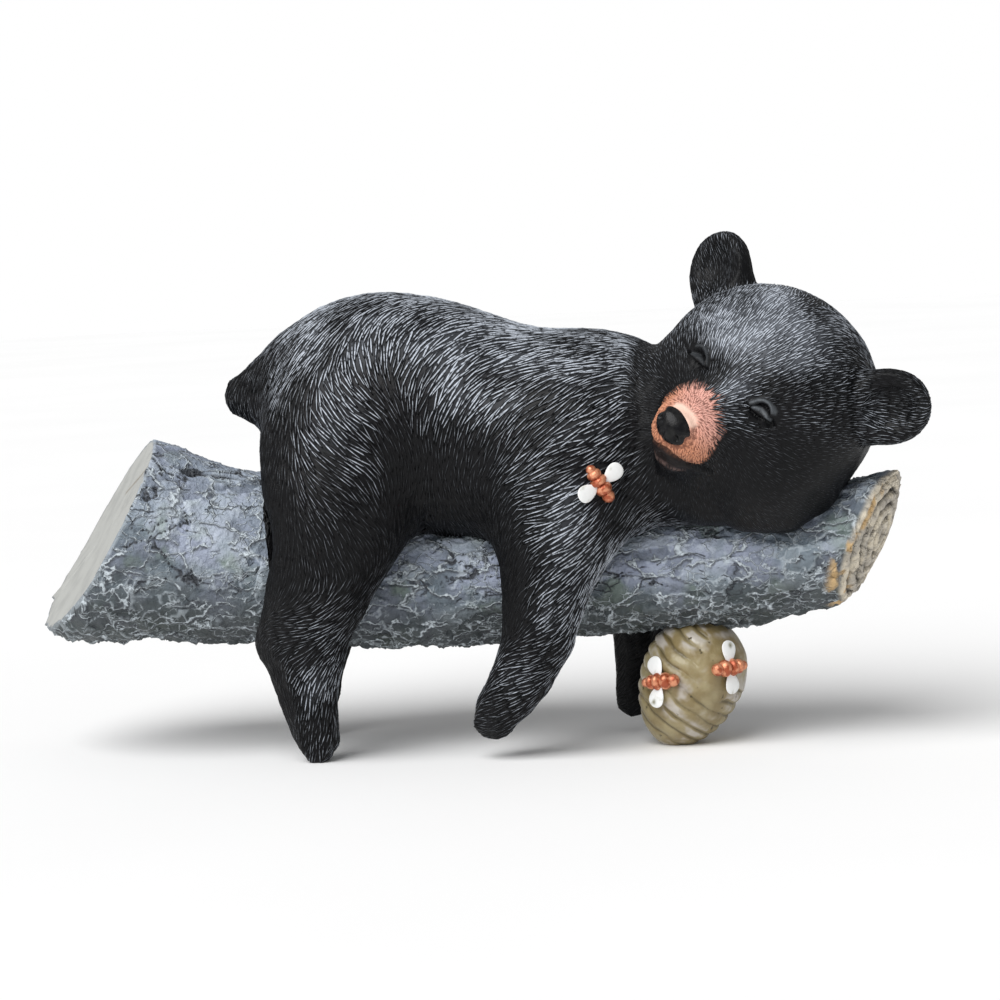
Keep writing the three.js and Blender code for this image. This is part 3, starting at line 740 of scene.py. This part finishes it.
def lie(points, normals):
    """Unit directions along the skin in which the fur lies, and the share of the head in each."""
    local = in_head(points)
    on_head = 1 - ramp(length(local * (1, 1, 1.03)), *HEAD_REACH)
    on_head = np.maximum(on_head, ramp(points[:, 0], 120, 130))
    on_head = np.maximum(on_head, ramp(points[:, 2], 166, 172) * (points[:, 0] > 72))
    on_head = np.maximum(on_head, near_line(local, (0, -24, -12), (0, -50, -15)) < 18.5)
    away = local - FACE_MIDDLE
    away = (away / length(away)[:, None]) @ head_axes.T
    body = coat(points)[0]
    body = body / length(body)[:, None]
    way = body + (away - body) * on_head[:, None]
    on_ear = (ramp(length(local), *EAR_REACH) * (local[:, 2] > 12) * on_head)[:, None]
    ear_way = (np.sign(local[:, :1]) * (0.83, 0, 0) + (0, 0, 0.56)) @ head_axes.T
    way = way + (ear_way - way) * on_ear
    swirl = 0.22 * lumps(points, 16, 51)
    way = way + swirl[:, None] * np.cross(normals, way)
    way -= (way * normals).sum(-1, keepdims=True) * normals
    return way / np.maximum(length(way)[:, None], 1e-6), on_head


def face_share(local):
    """How much grey is brushed over the head."""
    across, up = local[:, 0], local[:, 2]
    at_front = ramp(-local[:, 1], -22, 2)
    total = 0.1 + 0.2 * ramp(up, 5, 20)
    for x, z, wide, high, share in FACE_PATCHES:
        total += share * at_front * np.exp(-(((across - x) / wide) ** 2) - ((up - z) / high) ** 2)
    right = across > 0
    middle_x, middle_z, wide, long = (np.where(right, *pair) for pair in zip(*EAR_HOLLOWS))
    from_x, from_z = across - middle_x, up - middle_z
    out = (from_x * cos(HEAD_TILT) + from_z * sin(HEAD_TILT)) / wide
    along_ear = (from_z * cos(HEAD_TILT) - from_x * sin(HEAD_TILT)) / long
    hollow = np.exp(-(out**2) - along_ear**2)
    ear = (length(local) > 48) & (up > 12)
    return np.where(ear, (0.30 + 0.08 * right) * (1 - hollow), total)


def brushed_share(points, on_head):
    """How much grey is brushed over each point of the bear."""
    lower = 1 - ramp(points[:, 2], 60, 95)
    body = coat(points)[1] * (1 - 0.95 * (points[:, 1] > 0) * lower)
    grey = body + (face_share(in_head(points)) - body) * on_head
    return grey * (0.8 + 0.45 * lumps(points, 12, 62))


def washed_share(grey, on_head):
    """How far the grey has run down between the strokes."""
    return ramp(grey, 0.3, 1.0) * (0.28 + 0.72 * on_head)


def skin_samples(piece, count, rng):
    """Points spread evenly over a piece's surface, with their normals."""
    mesh = piece.data
    mesh.calc_loop_triangles()
    corners = np.empty(len(mesh.loop_triangles) * 3, np.int32)
    mesh.loop_triangles.foreach_get("vertices", corners)
    triangles = places(piece)[corners.reshape(-1, 3)]
    cross = np.cross(triangles[:, 1] - triangles[:, 0], triangles[:, 2] - triangles[:, 0])
    area = length(cross)
    chosen = rng.choice(len(area), count, p=area / area.sum())
    u, v = rng.random((2, count))
    flip = u + v > 1
    u, v = np.where(flip, 1 - u, u), np.where(flip, 1 - v, v)
    a, b, c = triangles[chosen].transpose(1, 0, 2)
    return a + u[:, None] * (b - a) + v[:, None] * (c - a), cross[chosen] / area[chosen][:, None]


def thin_out(points, ways, long, wide):
    """Keeps points whose strokes don't crowd each other, and drops the rest."""
    tree = KDTree(len(points))
    for i, point in enumerate(points):
        tree.insert(point, i)
    tree.balance()
    dropped = np.zeros(len(points), bool)
    kept = []
    for i in range(len(points)):
        if dropped[i]:
            continue
        kept.append(i)
        near = np.array([n for _, n, _ in tree.find_range(points[i], long[i])])
        step = points[near] - points[i]
        run = step @ ways[i]
        aside = np.sqrt(np.maximum((step**2).sum(-1) - run**2, 0))
        dropped[near[(run / long[i]) ** 2 + (aside / wide[i]) ** 2 < 1]] = True
    return np.array(kept)


def ground_of(*pieces):
    """Everything that strokes may lie on."""
    corners, faces = [], []
    for piece in pieces:
        offset = len(corners)
        corners += [v.co.copy() for v in piece.data.vertices]
        faces += [[offset + k for k in polygon.vertices] for polygon in piece.data.polygons]
    return BVHTree.FromPolygons(corners, faces)


def fur(name, ground, points, normals, long, wide, rise, grey, wash_and_shadow, rng):
    """Lays a stroke over each point and makes them one object."""
    count = len(points)
    lean = rng.normal(0, 0.10, count)

    def on_skin(places_now):
        found = [ground.find_nearest(Vector(p) * MM)[:2] for p in places_now]
        return np.array([f[0] for f in found]) / MM, np.array([f[1] for f in found])

    def way_at(places_now, normals_now):
        way = lie(places_now, normals_now)[0]
        return way + lean[:, None] * np.cross(normals_now, way)

    trail = {2: (points, normals)}
    for order in ((2, 3, 4), (2, 1, 0)):
        for now, then in zip(order, order[1:]):
            here, normal = trail[now]
            stride = (STROKE_STATIONS[then] - STROKE_STATIONS[now]) * long
            trail[then] = on_skin(here + way_at(here, normal) * stride[:, None])
    corners = np.empty((count, STROKE_CORNERS, 3))
    corners[:, 0] = trail[0][0] - 0.25 * trail[0][1]
    corners[:, -1] = trail[4][0] + (0.35 * rise)[:, None] * trail[4][1]
    for k in (1, 2, 3):
        here, normal = trail[k]
        across = np.cross(normal, way_at(here, normal))
        half = (wide * STROKE_WIDTHS[k - 1] / 2)[:, None]
        sunk = here - STROKE_SUNK * normal
        corners[:, 3 * k - 2] = sunk + across * half
        corners[:, 3 * k - 1] = here + (rise * STROKE_RISES[k - 1])[:, None] * normal
        corners[:, 3 * k] = sunk - across * half
    corners[:, :, 2] = np.maximum(corners[:, :, 2], 0)
    stroke_faces = [(0, 1, 2), (0, 2, 3), (0, 3, 1), (10, 8, 7), (10, 9, 8), (10, 7, 9)]
    for k in (1, 4):
        for a, b in ((0, 1), (1, 2), (2, 0)):
            stroke_faces += [(k + a, k + 3 + a, k + b), (k + b, k + 3 + a, k + 3 + b)]
    starts = np.arange(count)[:, None, None] * STROKE_CORNERS
    faces = (starts + np.array(stroke_faces)).reshape(-1, 3)
    mesh = bpy.data.meshes.new(name)
    mesh.from_pydata((corners.reshape(-1, 3) * MM).tolist(), [], faces.tolist())
    coat_piece = bpy.data.objects.new(name, mesh)
    bpy.context.scene.collection.objects.link(coat_piece)
    paint(coat_piece, "ridge", np.tile(STROKE_RIDGE, count))
    paint(coat_piece, "grey", np.repeat(grey, STROKE_CORNERS))
    paint(coat_piece, "wash_and_shadow", np.repeat(wash_and_shadow, STROKE_CORNERS))
    local = in_head(corners.reshape(-1, 3))
    paint(coat_piece, "pink", pink_share(local))
    paint(coat_piece, "lip", lip_and_under_shade_share(local))
    mesh.shade_smooth()
    return coat_piece


skin_points = places(skin)
skin_on_head = lie(skin_points, outward(skin))[1]
paint(skin, "wash_and_shadow", washed_share(brushed_share(skin_points, skin_on_head), skin_on_head))

rng = np.random.default_rng(7)
points, normals = skin_samples(skin, SKIN_SAMPLES, rng)
ways, on_head = lie(points, normals)
head_local = in_head(points)
middle_y, middle_z, radius = branch_line(points[:, 0])
off_branch = np.hypot(points[:, 1] - middle_y, points[:, 2] - middle_z) - radius
bare = (off_branch < 1.2) & (points[:, 0] > -160)
bare |= points[:, 2] < 0.8
bare |= length((points - SHOULDER_BEE_AT) / (5, 6, 9)) < 1
tips_local = in_head(points + MUZZLE_TIP * ways)
muzzle = (tan_share(head_local) > 0.5) & (tan_share(tips_local) > 0.5) & (on_head > 0.5)
eyes = np.zeros(len(points), bool)
for side in (-1, 1):
    away = (head_local[:, ::2] * (side, 1) - (17.8, 9.2)) / (7.2, 5.4)
    eyes |= (length(away) < 1) & (head_local[:, 1] < -15)
nose = length((head_local - NOSE_AT) / (11, 8, 7.5)) < 1
smooth = nose | (bare_share(head_local) > 0.3) | (lip_and_under_shade_share(head_local) > 0.4)
keep = ~(bare | eyes | (muzzle & smooth))
points, normals, ways, on_head, muzzle = (v[keep] for v in (points, normals, ways, on_head, muzzle))

lower = 1 - ramp(points[:, 2], 60, 95)
long = BODY_LONG - LEG_SHORTER * lower
long += (HEAD_LONG - long) * on_head
wide = BODY_WIDE - LEG_NARROWER * lower
wide += (HEAD_WIDE - wide) * on_head
long[muzzle], wide[muzzle] = MUZZLE_LONG, MUZZLE_WIDE
long *= 1 + 0.25 * lumps(points, 9, 61)
grey = brushed_share(points, on_head)
rise = 0.35 + 0.4 * ramp(grey, 0.05, 0.5) - 0.2 * on_head
rise[muzzle] = MUZZLE_RISE
wash_and_shadow = washed_share(grey, on_head)
kept = thin_out(points, ways, 0.5 * long, np.where(muzzle, 0.6, 0.54) * wide)
grey = clamp(grey * (0.7 + 0.6 * rng.random(len(points))))

fur_tree, shader = finish("painted_fur", 0.42, Specular_IOR_Level=0.16)
tree = fur_tree
brushing = painted(tree, "grey")
reach = maths(tree, "MULTIPLY_ADD", brushing, -0.36, 0.84)
brushed = spread(tree, painted(tree, "ridge"), reach, maths(tree, "ADD", reach, 0.3))
streak = speckle(tree, 600, 0.28, 0.55)
strength = spread(tree, brushing, -0.15, 0.6)
share = times(tree, times(tree, brushed, strength), streak)
hue = over(tree, share, over(tree, painted(tree, "wash_and_shadow"), FUR_BLACK, FUR_WASH), FUR_GREY)
colour_in(tree, shader, hue, speckle(tree, 1300, 0.3, 0.7), 0.45, 0.25)

tan_tree, shader = finish("painted_muzzle", 0.5)
tree = tan_tree
tan = over(tree, painted(tree, "pink"), MUZZLE_TAN, MUZZLE_PINK)
tan = over(tree, spread(tree, painted(tree, "ridge"), 0.1, 0.55), MUZZLE_DARK, tan)
# dark lips and chin, with painted shade under the muzzle
tan = over(tree, painted(tree, "lip"), tan, LIP_DARK_AND_UNDER_SHADE)
colour_in(tree, shader, tan, speckle(tree, 1500, 0.3, 0.7), 0.2, 0.1)

both = ground_of(skin, branch)
alone = ground_of(skin)
parts = (
    ("fur_back", both, (on_head <= 0.5) & (points[:, 2] > LEGS_BELOW), fur_tree),
    ("fur_legs", both, (on_head <= 0.5) & (points[:, 2] <= LEGS_BELOW), fur_tree),
    ("fur_head", both, (on_head > 0.5) & ~muzzle, fur_tree),
    ("fur_muzzle", alone, muzzle, tan_tree),
)
for name, ground, region, its_tree in parts:
    chosen = kept[region[kept]]
    strokes = fur(name, ground, *(v[chosen] for v in (points, normals, long, wide, rise, grey, wash_and_shadow)), rng)
    wear(strokes, its_tree)
    settle(strokes, "painted_fur")

# Nose pad: a smooth rounded shield with two nostrils. It is part of the bear's casting, carved clear of
# the fur and painted gloss black.

NOSE_TILT = radians(13)
NOSE_SIZE = (9.4, 5.0, 6.3)
NOSTRIL_AT = np.array((5.2, -3.2, -0.8))  # the one on the right, as is the notch beside it
NOSTRIL_SIZE = (1.8, 3.0, 1.3)
NOSTRIL_DEPTH = 2.4
NOTCH_AT = np.array((8.2, -1.0, 1.2))
NOTCH_SIZE = (2.2, 4.0, 2.0)
NOTCH_DEPTH = 2.0
NOSE_GROOVE_WIDTH = 0.8
NOSE_GROOVE_DEPTH = 0.7
NOSE_BLACK = (0.005, 0.005, 0.006)
NOSE_PAINTED_SHEEN = (0.015, 0.015, 0.015)

bpy.ops.mesh.primitive_uv_sphere_add(segments=64, ring_count=40, radius=1)
nose = bpy.context.object
nose.name = "nose_pad"
ball = places(nose) * MM
upper = ramp(ball[:, 2], -0.9, 0.6)
shaped = ball * NOSE_SIZE
shaped[:, 0] *= 0.8 + 0.2 * upper
for side in (-1, 1):
    mirrored = (side, 1, 1)
    shaped[:, 1] += NOSTRIL_DEPTH * bell_at(shaped, NOSTRIL_AT * mirrored, NOSTRIL_SIZE)
    shaped[:, 0] -= side * NOTCH_DEPTH * bell_at(shaped, NOTCH_AT * mirrored, NOTCH_SIZE)
shaped[:, 1] += NOSE_GROOVE_DEPTH * bell(shaped[:, 0], NOSE_GROOVE_WIDTH) * ramp(-shaped[:, 2], -1, 3)
shaped = shaped @ np.array(Matrix.Rotation(NOSE_TILT, 3, "Y")).T
place_all(nose, from_head(shaped + NOSE_AT))
bpy.ops.object.shade_smooth()
tree, shader = finish("gloss_black_nose", 0.24, Specular_IOR_Level=0.16)
# Painted sheen: random patches a little lighter than the black.
hue = over(tree, speckle(tree, 300, 0.4, 0.7), NOSE_BLACK, NOSE_PAINTED_SHEEN)
colour_in(tree, shader, hue, speckle(tree, 1500, 0.3, 0.7), 0.3, 0.1)
wear(nose, tree)
settle(nose, "painted_fur")

# Beehive: a casting wound from coils in khaki tan, with smooth folds over its upper half, glued up
# against the underside of the branch.

HIVE_FOOT = np.array((74.4, 2.05, -0.5))
HIVE_TOP = np.array((97.4, 2.05, 50.5))
HIVE_WIDTH = 41.5
HIVE_TAPER = 0.12
FOLDS_FACE = radians(150)
FOLDS_START = 0.70  # a share of the hive's height, and how far they hang lower in front
FOLDS_HANG = 0.16
FOLD_SCALLOPS = 5
COILS = 10
COIL_SLANT = -0.11
COIL_SWELL = 1.3
COIL_ROUNDING = 0.6
COIL_SUNK = 0.9
COMB_TAN = (0.235, 0.18, 0.082)
COMB_LIGHT = (0.33, 0.275, 0.15)
COMB_BLOOM = (0.60, 0.57, 0.555)
COMB_DARK = (0.075, 0.058, 0.024)

bpy.ops.mesh.primitive_uv_sphere_add(segments=180, ring_count=200, radius=1)
hive = bpy.context.object
hive.name = "hive_coils"
ball = places(hive) * MM
axis = HIVE_TOP - HIVE_FOOT
height = np.linalg.norm(axis)
axis = axis / height
side_way = np.cross(axis, (0, 1, 0))
side_way = side_way / np.linalg.norm(side_way)
deep_way = np.cross(axis, side_way)
share = (ball[:, 2] + 1) / 2
turn = np.arctan2(ball[:, 1], ball[:, 0])
egg = HIVE_WIDTH / 2 * (1 + HIVE_TAPER * (2 * share - 1))
rounded = np.stack([egg * ball[:, 0], egg * ball[:, 1], share * height], axis=-1)
front_turn = np.cos(turn - FOLDS_FACE)
lip = FOLDS_START - FOLDS_HANG * front_turn + 0.07 * lumps(rounded, 8, 71)
lip = lip + 0.04 * np.sin(FOLD_SCALLOPS * turn)
fold = ramp(share, lip - 0.015, lip + 0.02) * ramp(front_turn, 0.45, 0.7)
slant = COIL_SLANT * ball[:, 0]
coil_place = share + slant + 0.02 * lumps(rounded, 9, 72) + 0.006 * lumps(rounded, 3, 75)
coil = np.abs(np.sin(pi * COILS * coil_place)) ** COIL_ROUNDING
groove = (1 - coil) * (1 - fold) * ramp(lumps(rounded, 10, 74), -0.8, 0.1)
swell = COIL_SWELL * coil * (1 - fold) + fold * (COIL_SWELL + 0.8 * lumps(rounded, 8, 73)) - COIL_SUNK
rounded[:, :2] *= (1 + swell / np.maximum(egg, 1))[:, None]
points_now = HIVE_FOOT + rounded[:, :1] * side_way + rounded[:, 1:2] * deep_way + rounded[:, 2:] * axis
points_now[:, 2] = np.maximum(points_now[:, 2], 0)
place_all(hive, points_now)
paint(hive, "groove", groove)
paint(hive, "fold", fold)
close(hive)

tree, shader = finish("painted_hive", 0.35)
hue = over(tree, speckle(tree, 120, 0.4, 0.65), COMB_TAN, COMB_LIGHT)
bloom = times(tree, speckle(tree, 75, 0.48, 0.62), spread(tree, painted(tree, "groove"), 0.35, 0.1))
hue = over(tree, times(tree, bloom, 0.6), hue, COMB_BLOOM)
hue = over(tree, times(tree, spread(tree, painted(tree, "groove"), 0.15, 0.85), 0.75), hue, COMB_DARK)
hue = over(tree, speckle(tree, 260, 0.66, 0.72), hue, COMB_DARK)
colour_in(tree, shader, hue, speckle(tree, 500, 0.3, 0.7), 0.3, 0.3)
wear(hive, tree)
settle(hive, "painted_hive", "hive")

# Bees: three small castings with beaded copper bodies and thick white wings. Two are glued on the front
# of the hive, and one on the bear's near shoulder.

BEE_BEADS = (  # place along the body, radius, and half length
    (-7.2, 2.0, 2.0),
    (-4.9, 3.0, 2.2),
    (-1.8, 3.6, 2.2),
    (2.0, 3.5, 2.7),
    (5.6, 2.6, 2.6),
)
BEE_RISE = 1.8
WING_LONG, WING_WIDE, WING_THICK = 9.6, 7.4, 1.3
WING_RISE = 2.1
WING_ROOT = 1.6
DIMPLE_AT = (0.1, 0.55)  # shares of the wing's half width and half length
DIMPLE_SIZE = 0.22
BEES = (  # name, node, place, way of the head, way of the back, sweep and droop of the wings
    ("bee_left", "bee_hive_left", (78.0, -16.3, 28.2), (0.92, -0.38, 0.11), (-0.39, -0.9, 0.17), 25, 6),
    ("bee_right", "bee_hive_right", (103.0, -12.7, 32.7), (-0.69, -0.72, -0.02), (0.72, -0.69, 0.07), 12, 8),
    ("bee_above", "bee_shoulder", SHOULDER_BEE_AT, (0.46, 0.26, -0.85), (0.53, -0.85, 0.02), 8, -6),
)
COPPER = (0.38, 0.085, 0.035)
COPPER_LIGHT = (0.74, 0.31, 0.17)
WING_WHITE = (0.86, 0.87, 0.86)
WING_GREY_PATCH = (0.62, 0.62, 0.56)
DIMPLE_OLIVE = (0.16, 0.15, 0.07)

copper_tree, shader = finish("copper_bee", 0.32, Metallic=0.45)
hue = over(copper_tree, speckle(copper_tree, 420, 0.4, 0.6), COPPER, COPPER_LIGHT)
colour_in(copper_tree, shader, hue, speckle(copper_tree, 1500, 0.3, 0.7), 0.4, 0.15)
wing_tree, shader = finish("white_wing", 0.4)
# Random grey patches over the white.
hue = over(wing_tree, speckle(wing_tree, 250, 0.55, 0.75), WING_WHITE, WING_GREY_PATCH)
hue = over(wing_tree, painted(wing_tree, "dimple"), hue, DIMPLE_OLIVE)
colour_in(wing_tree, shader, hue, speckle(wing_tree, 700, 0.3, 0.7), 0.25, 0.15)

bpy.ops.mesh.primitive_uv_sphere_add(segments=28, ring_count=18, radius=1)
bead = bpy.context.object
wear(bead, copper_tree)

bpy.ops.mesh.primitive_uv_sphere_add(segments=28, ring_count=20, radius=1)
wing = bpy.context.object
wear(wing, wing_tree)
ball = places(wing) * MM
tipward = (ball[:, 1] + 1) / 2
leaf = ball * (WING_WIDE / 2, WING_LONG / 2, WING_THICK / 2)
leaf[:, 0] *= 0.45 + 0.75 * tipward**0.8
leaf[:, 1] += WING_LONG / 2 + WING_ROOT
place_all(wing, leaf)
from_dimple = length(ball[:, :2] - DIMPLE_AT)
paint(wing, "dimple", bell(from_dimple, DIMPLE_SIZE) * (ball[:, 2] > 0))

for name, cad_node, place, heading, back, sweep, droop in BEES:
    up = Vector(back).normalized()
    across = up.cross(Vector(heading)).normalized()
    pose = np.array(Matrix((across.cross(up), across, up)))
    parts = []
    for at, radius_now, half in BEE_BEADS:
        part = another(bead)
        stretched = places(bead) * MM * (half, radius_now, radius_now) + (at, 0, BEE_RISE)
        place_all(part, stretched @ pose + place)
        parts.append(part)
    for spin in (sweep, 180 - sweep):
        part = another(wing)
        turned = Matrix.Rotation(radians(spin), 3, "Z") @ Matrix.Rotation(-radians(droop), 3, "X")
        spread_out = places(wing) @ np.array(turned).T + (0, 0, WING_RISE)
        place_all(part, spread_out @ pose + place)
        plain = spin == sweep or name == "bee_above"
        if plain:
            part.data.attributes.remove(part.data.attributes["dimple"])
            paint(part, "dimple", 0)
        parts.append(part)
    bpy.ops.object.select_all(action="DESELECT")
    for part in parts:
        part.select_set(True)
    bpy.context.view_layer.objects.active = parts[0]
    bpy.ops.object.join()
    bee = bpy.context.object
    bee.name = name
    bpy.ops.object.shade_smooth()
    bpy.ops.object.select_all(action="DESELECT")
    settle(bee, "painted_bee", cad_node)
for model in (bead, wing):
    bpy.data.objects.remove(model)

# Studio: a plain pale floor that runs on into a white room, which gives an even fill, and one large soft
# key light from high on the front left.

FLOOR_SIZE = 12
FLOOR_WHITE = (0.96, 0.96, 0.96)
FLOOR_SHADE = (0.94, 0.94, 0.94)
KEY = 3.1
KEY_SOFTNESS = radians(50)
KEY_FROM = (-0.30, -0.62, 0.75)
FILL = 0.36

bpy.ops.mesh.primitive_plane_add(size=FLOOR_SIZE)
floor = bpy.context.object
floor.name = "floor"
floor.select_set(False)
tree, shader = finish("pale_floor", 0.9)
hue = over(tree, speckle(tree, 3, 0.3, 0.7), FLOOR_WHITE, FLOOR_SHADE)
tree.links.new(hue, shader.inputs["Base Color"])
wear(floor, tree)

world = bpy.context.scene.world or bpy.data.worlds.new("studio")
bpy.context.scene.world = world
world.use_nodes = True
sky = world.node_tree.nodes["Background"]
sky.inputs["Color"].default_value = (1, 1, 1, 1)
seen = node(world.node_tree, "LightPath").outputs["Is Camera Ray"]
glow = maths(world.node_tree, "MULTIPLY_ADD", seen, 1 - FILL, FILL)
world.node_tree.links.new(glow, sky.inputs["Strength"])

bpy.ops.object.light_add(type="SUN", location=(0, 0, 1))
key = bpy.context.object
key.name = "soft_key"
key.data.energy = KEY
key.data.angle = KEY_SOFTNESS
key.rotation_euler = Vector(KEY_FROM).to_track_quat("Z", "Y").to_euler()
key.select_set(False)

# Camera: where the photograph was taken from, fitted to the statue's outline.

CAMERA_AZIMUTH, CAMERA_HEIGHT, CAMERA_ROLL = radians(12), radians(5), radians(-3)
CAMERA_AWAY = 1.3
CAMERA_LENS = 113.45
CAMERA_TARGET = Vector((9.87, 5.06, 102)) * MM

bpy.ops.object.camera_add()
camera = bpy.context.object
camera.name = "photo_camera"
camera.data.lens = CAMERA_LENS
camera.data.sensor_width = 36
camera.data.clip_start = 0.05
back = Vector((sin(CAMERA_AZIMUTH), -cos(CAMERA_AZIMUTH), 0)) * cos(CAMERA_HEIGHT)
back.z = sin(CAMERA_HEIGHT)
camera.location = CAMERA_TARGET + back * CAMERA_AWAY
aimed = back.to_track_quat("Z", "Y").to_matrix() @ Matrix.Rotation(CAMERA_ROLL, 3, "Z")
camera.rotation_euler = aimed.to_euler()
camera.select_set(False)
bpy.context.scene.camera = camera
bpy.context.scene.view_settings.view_transform = "Standard"
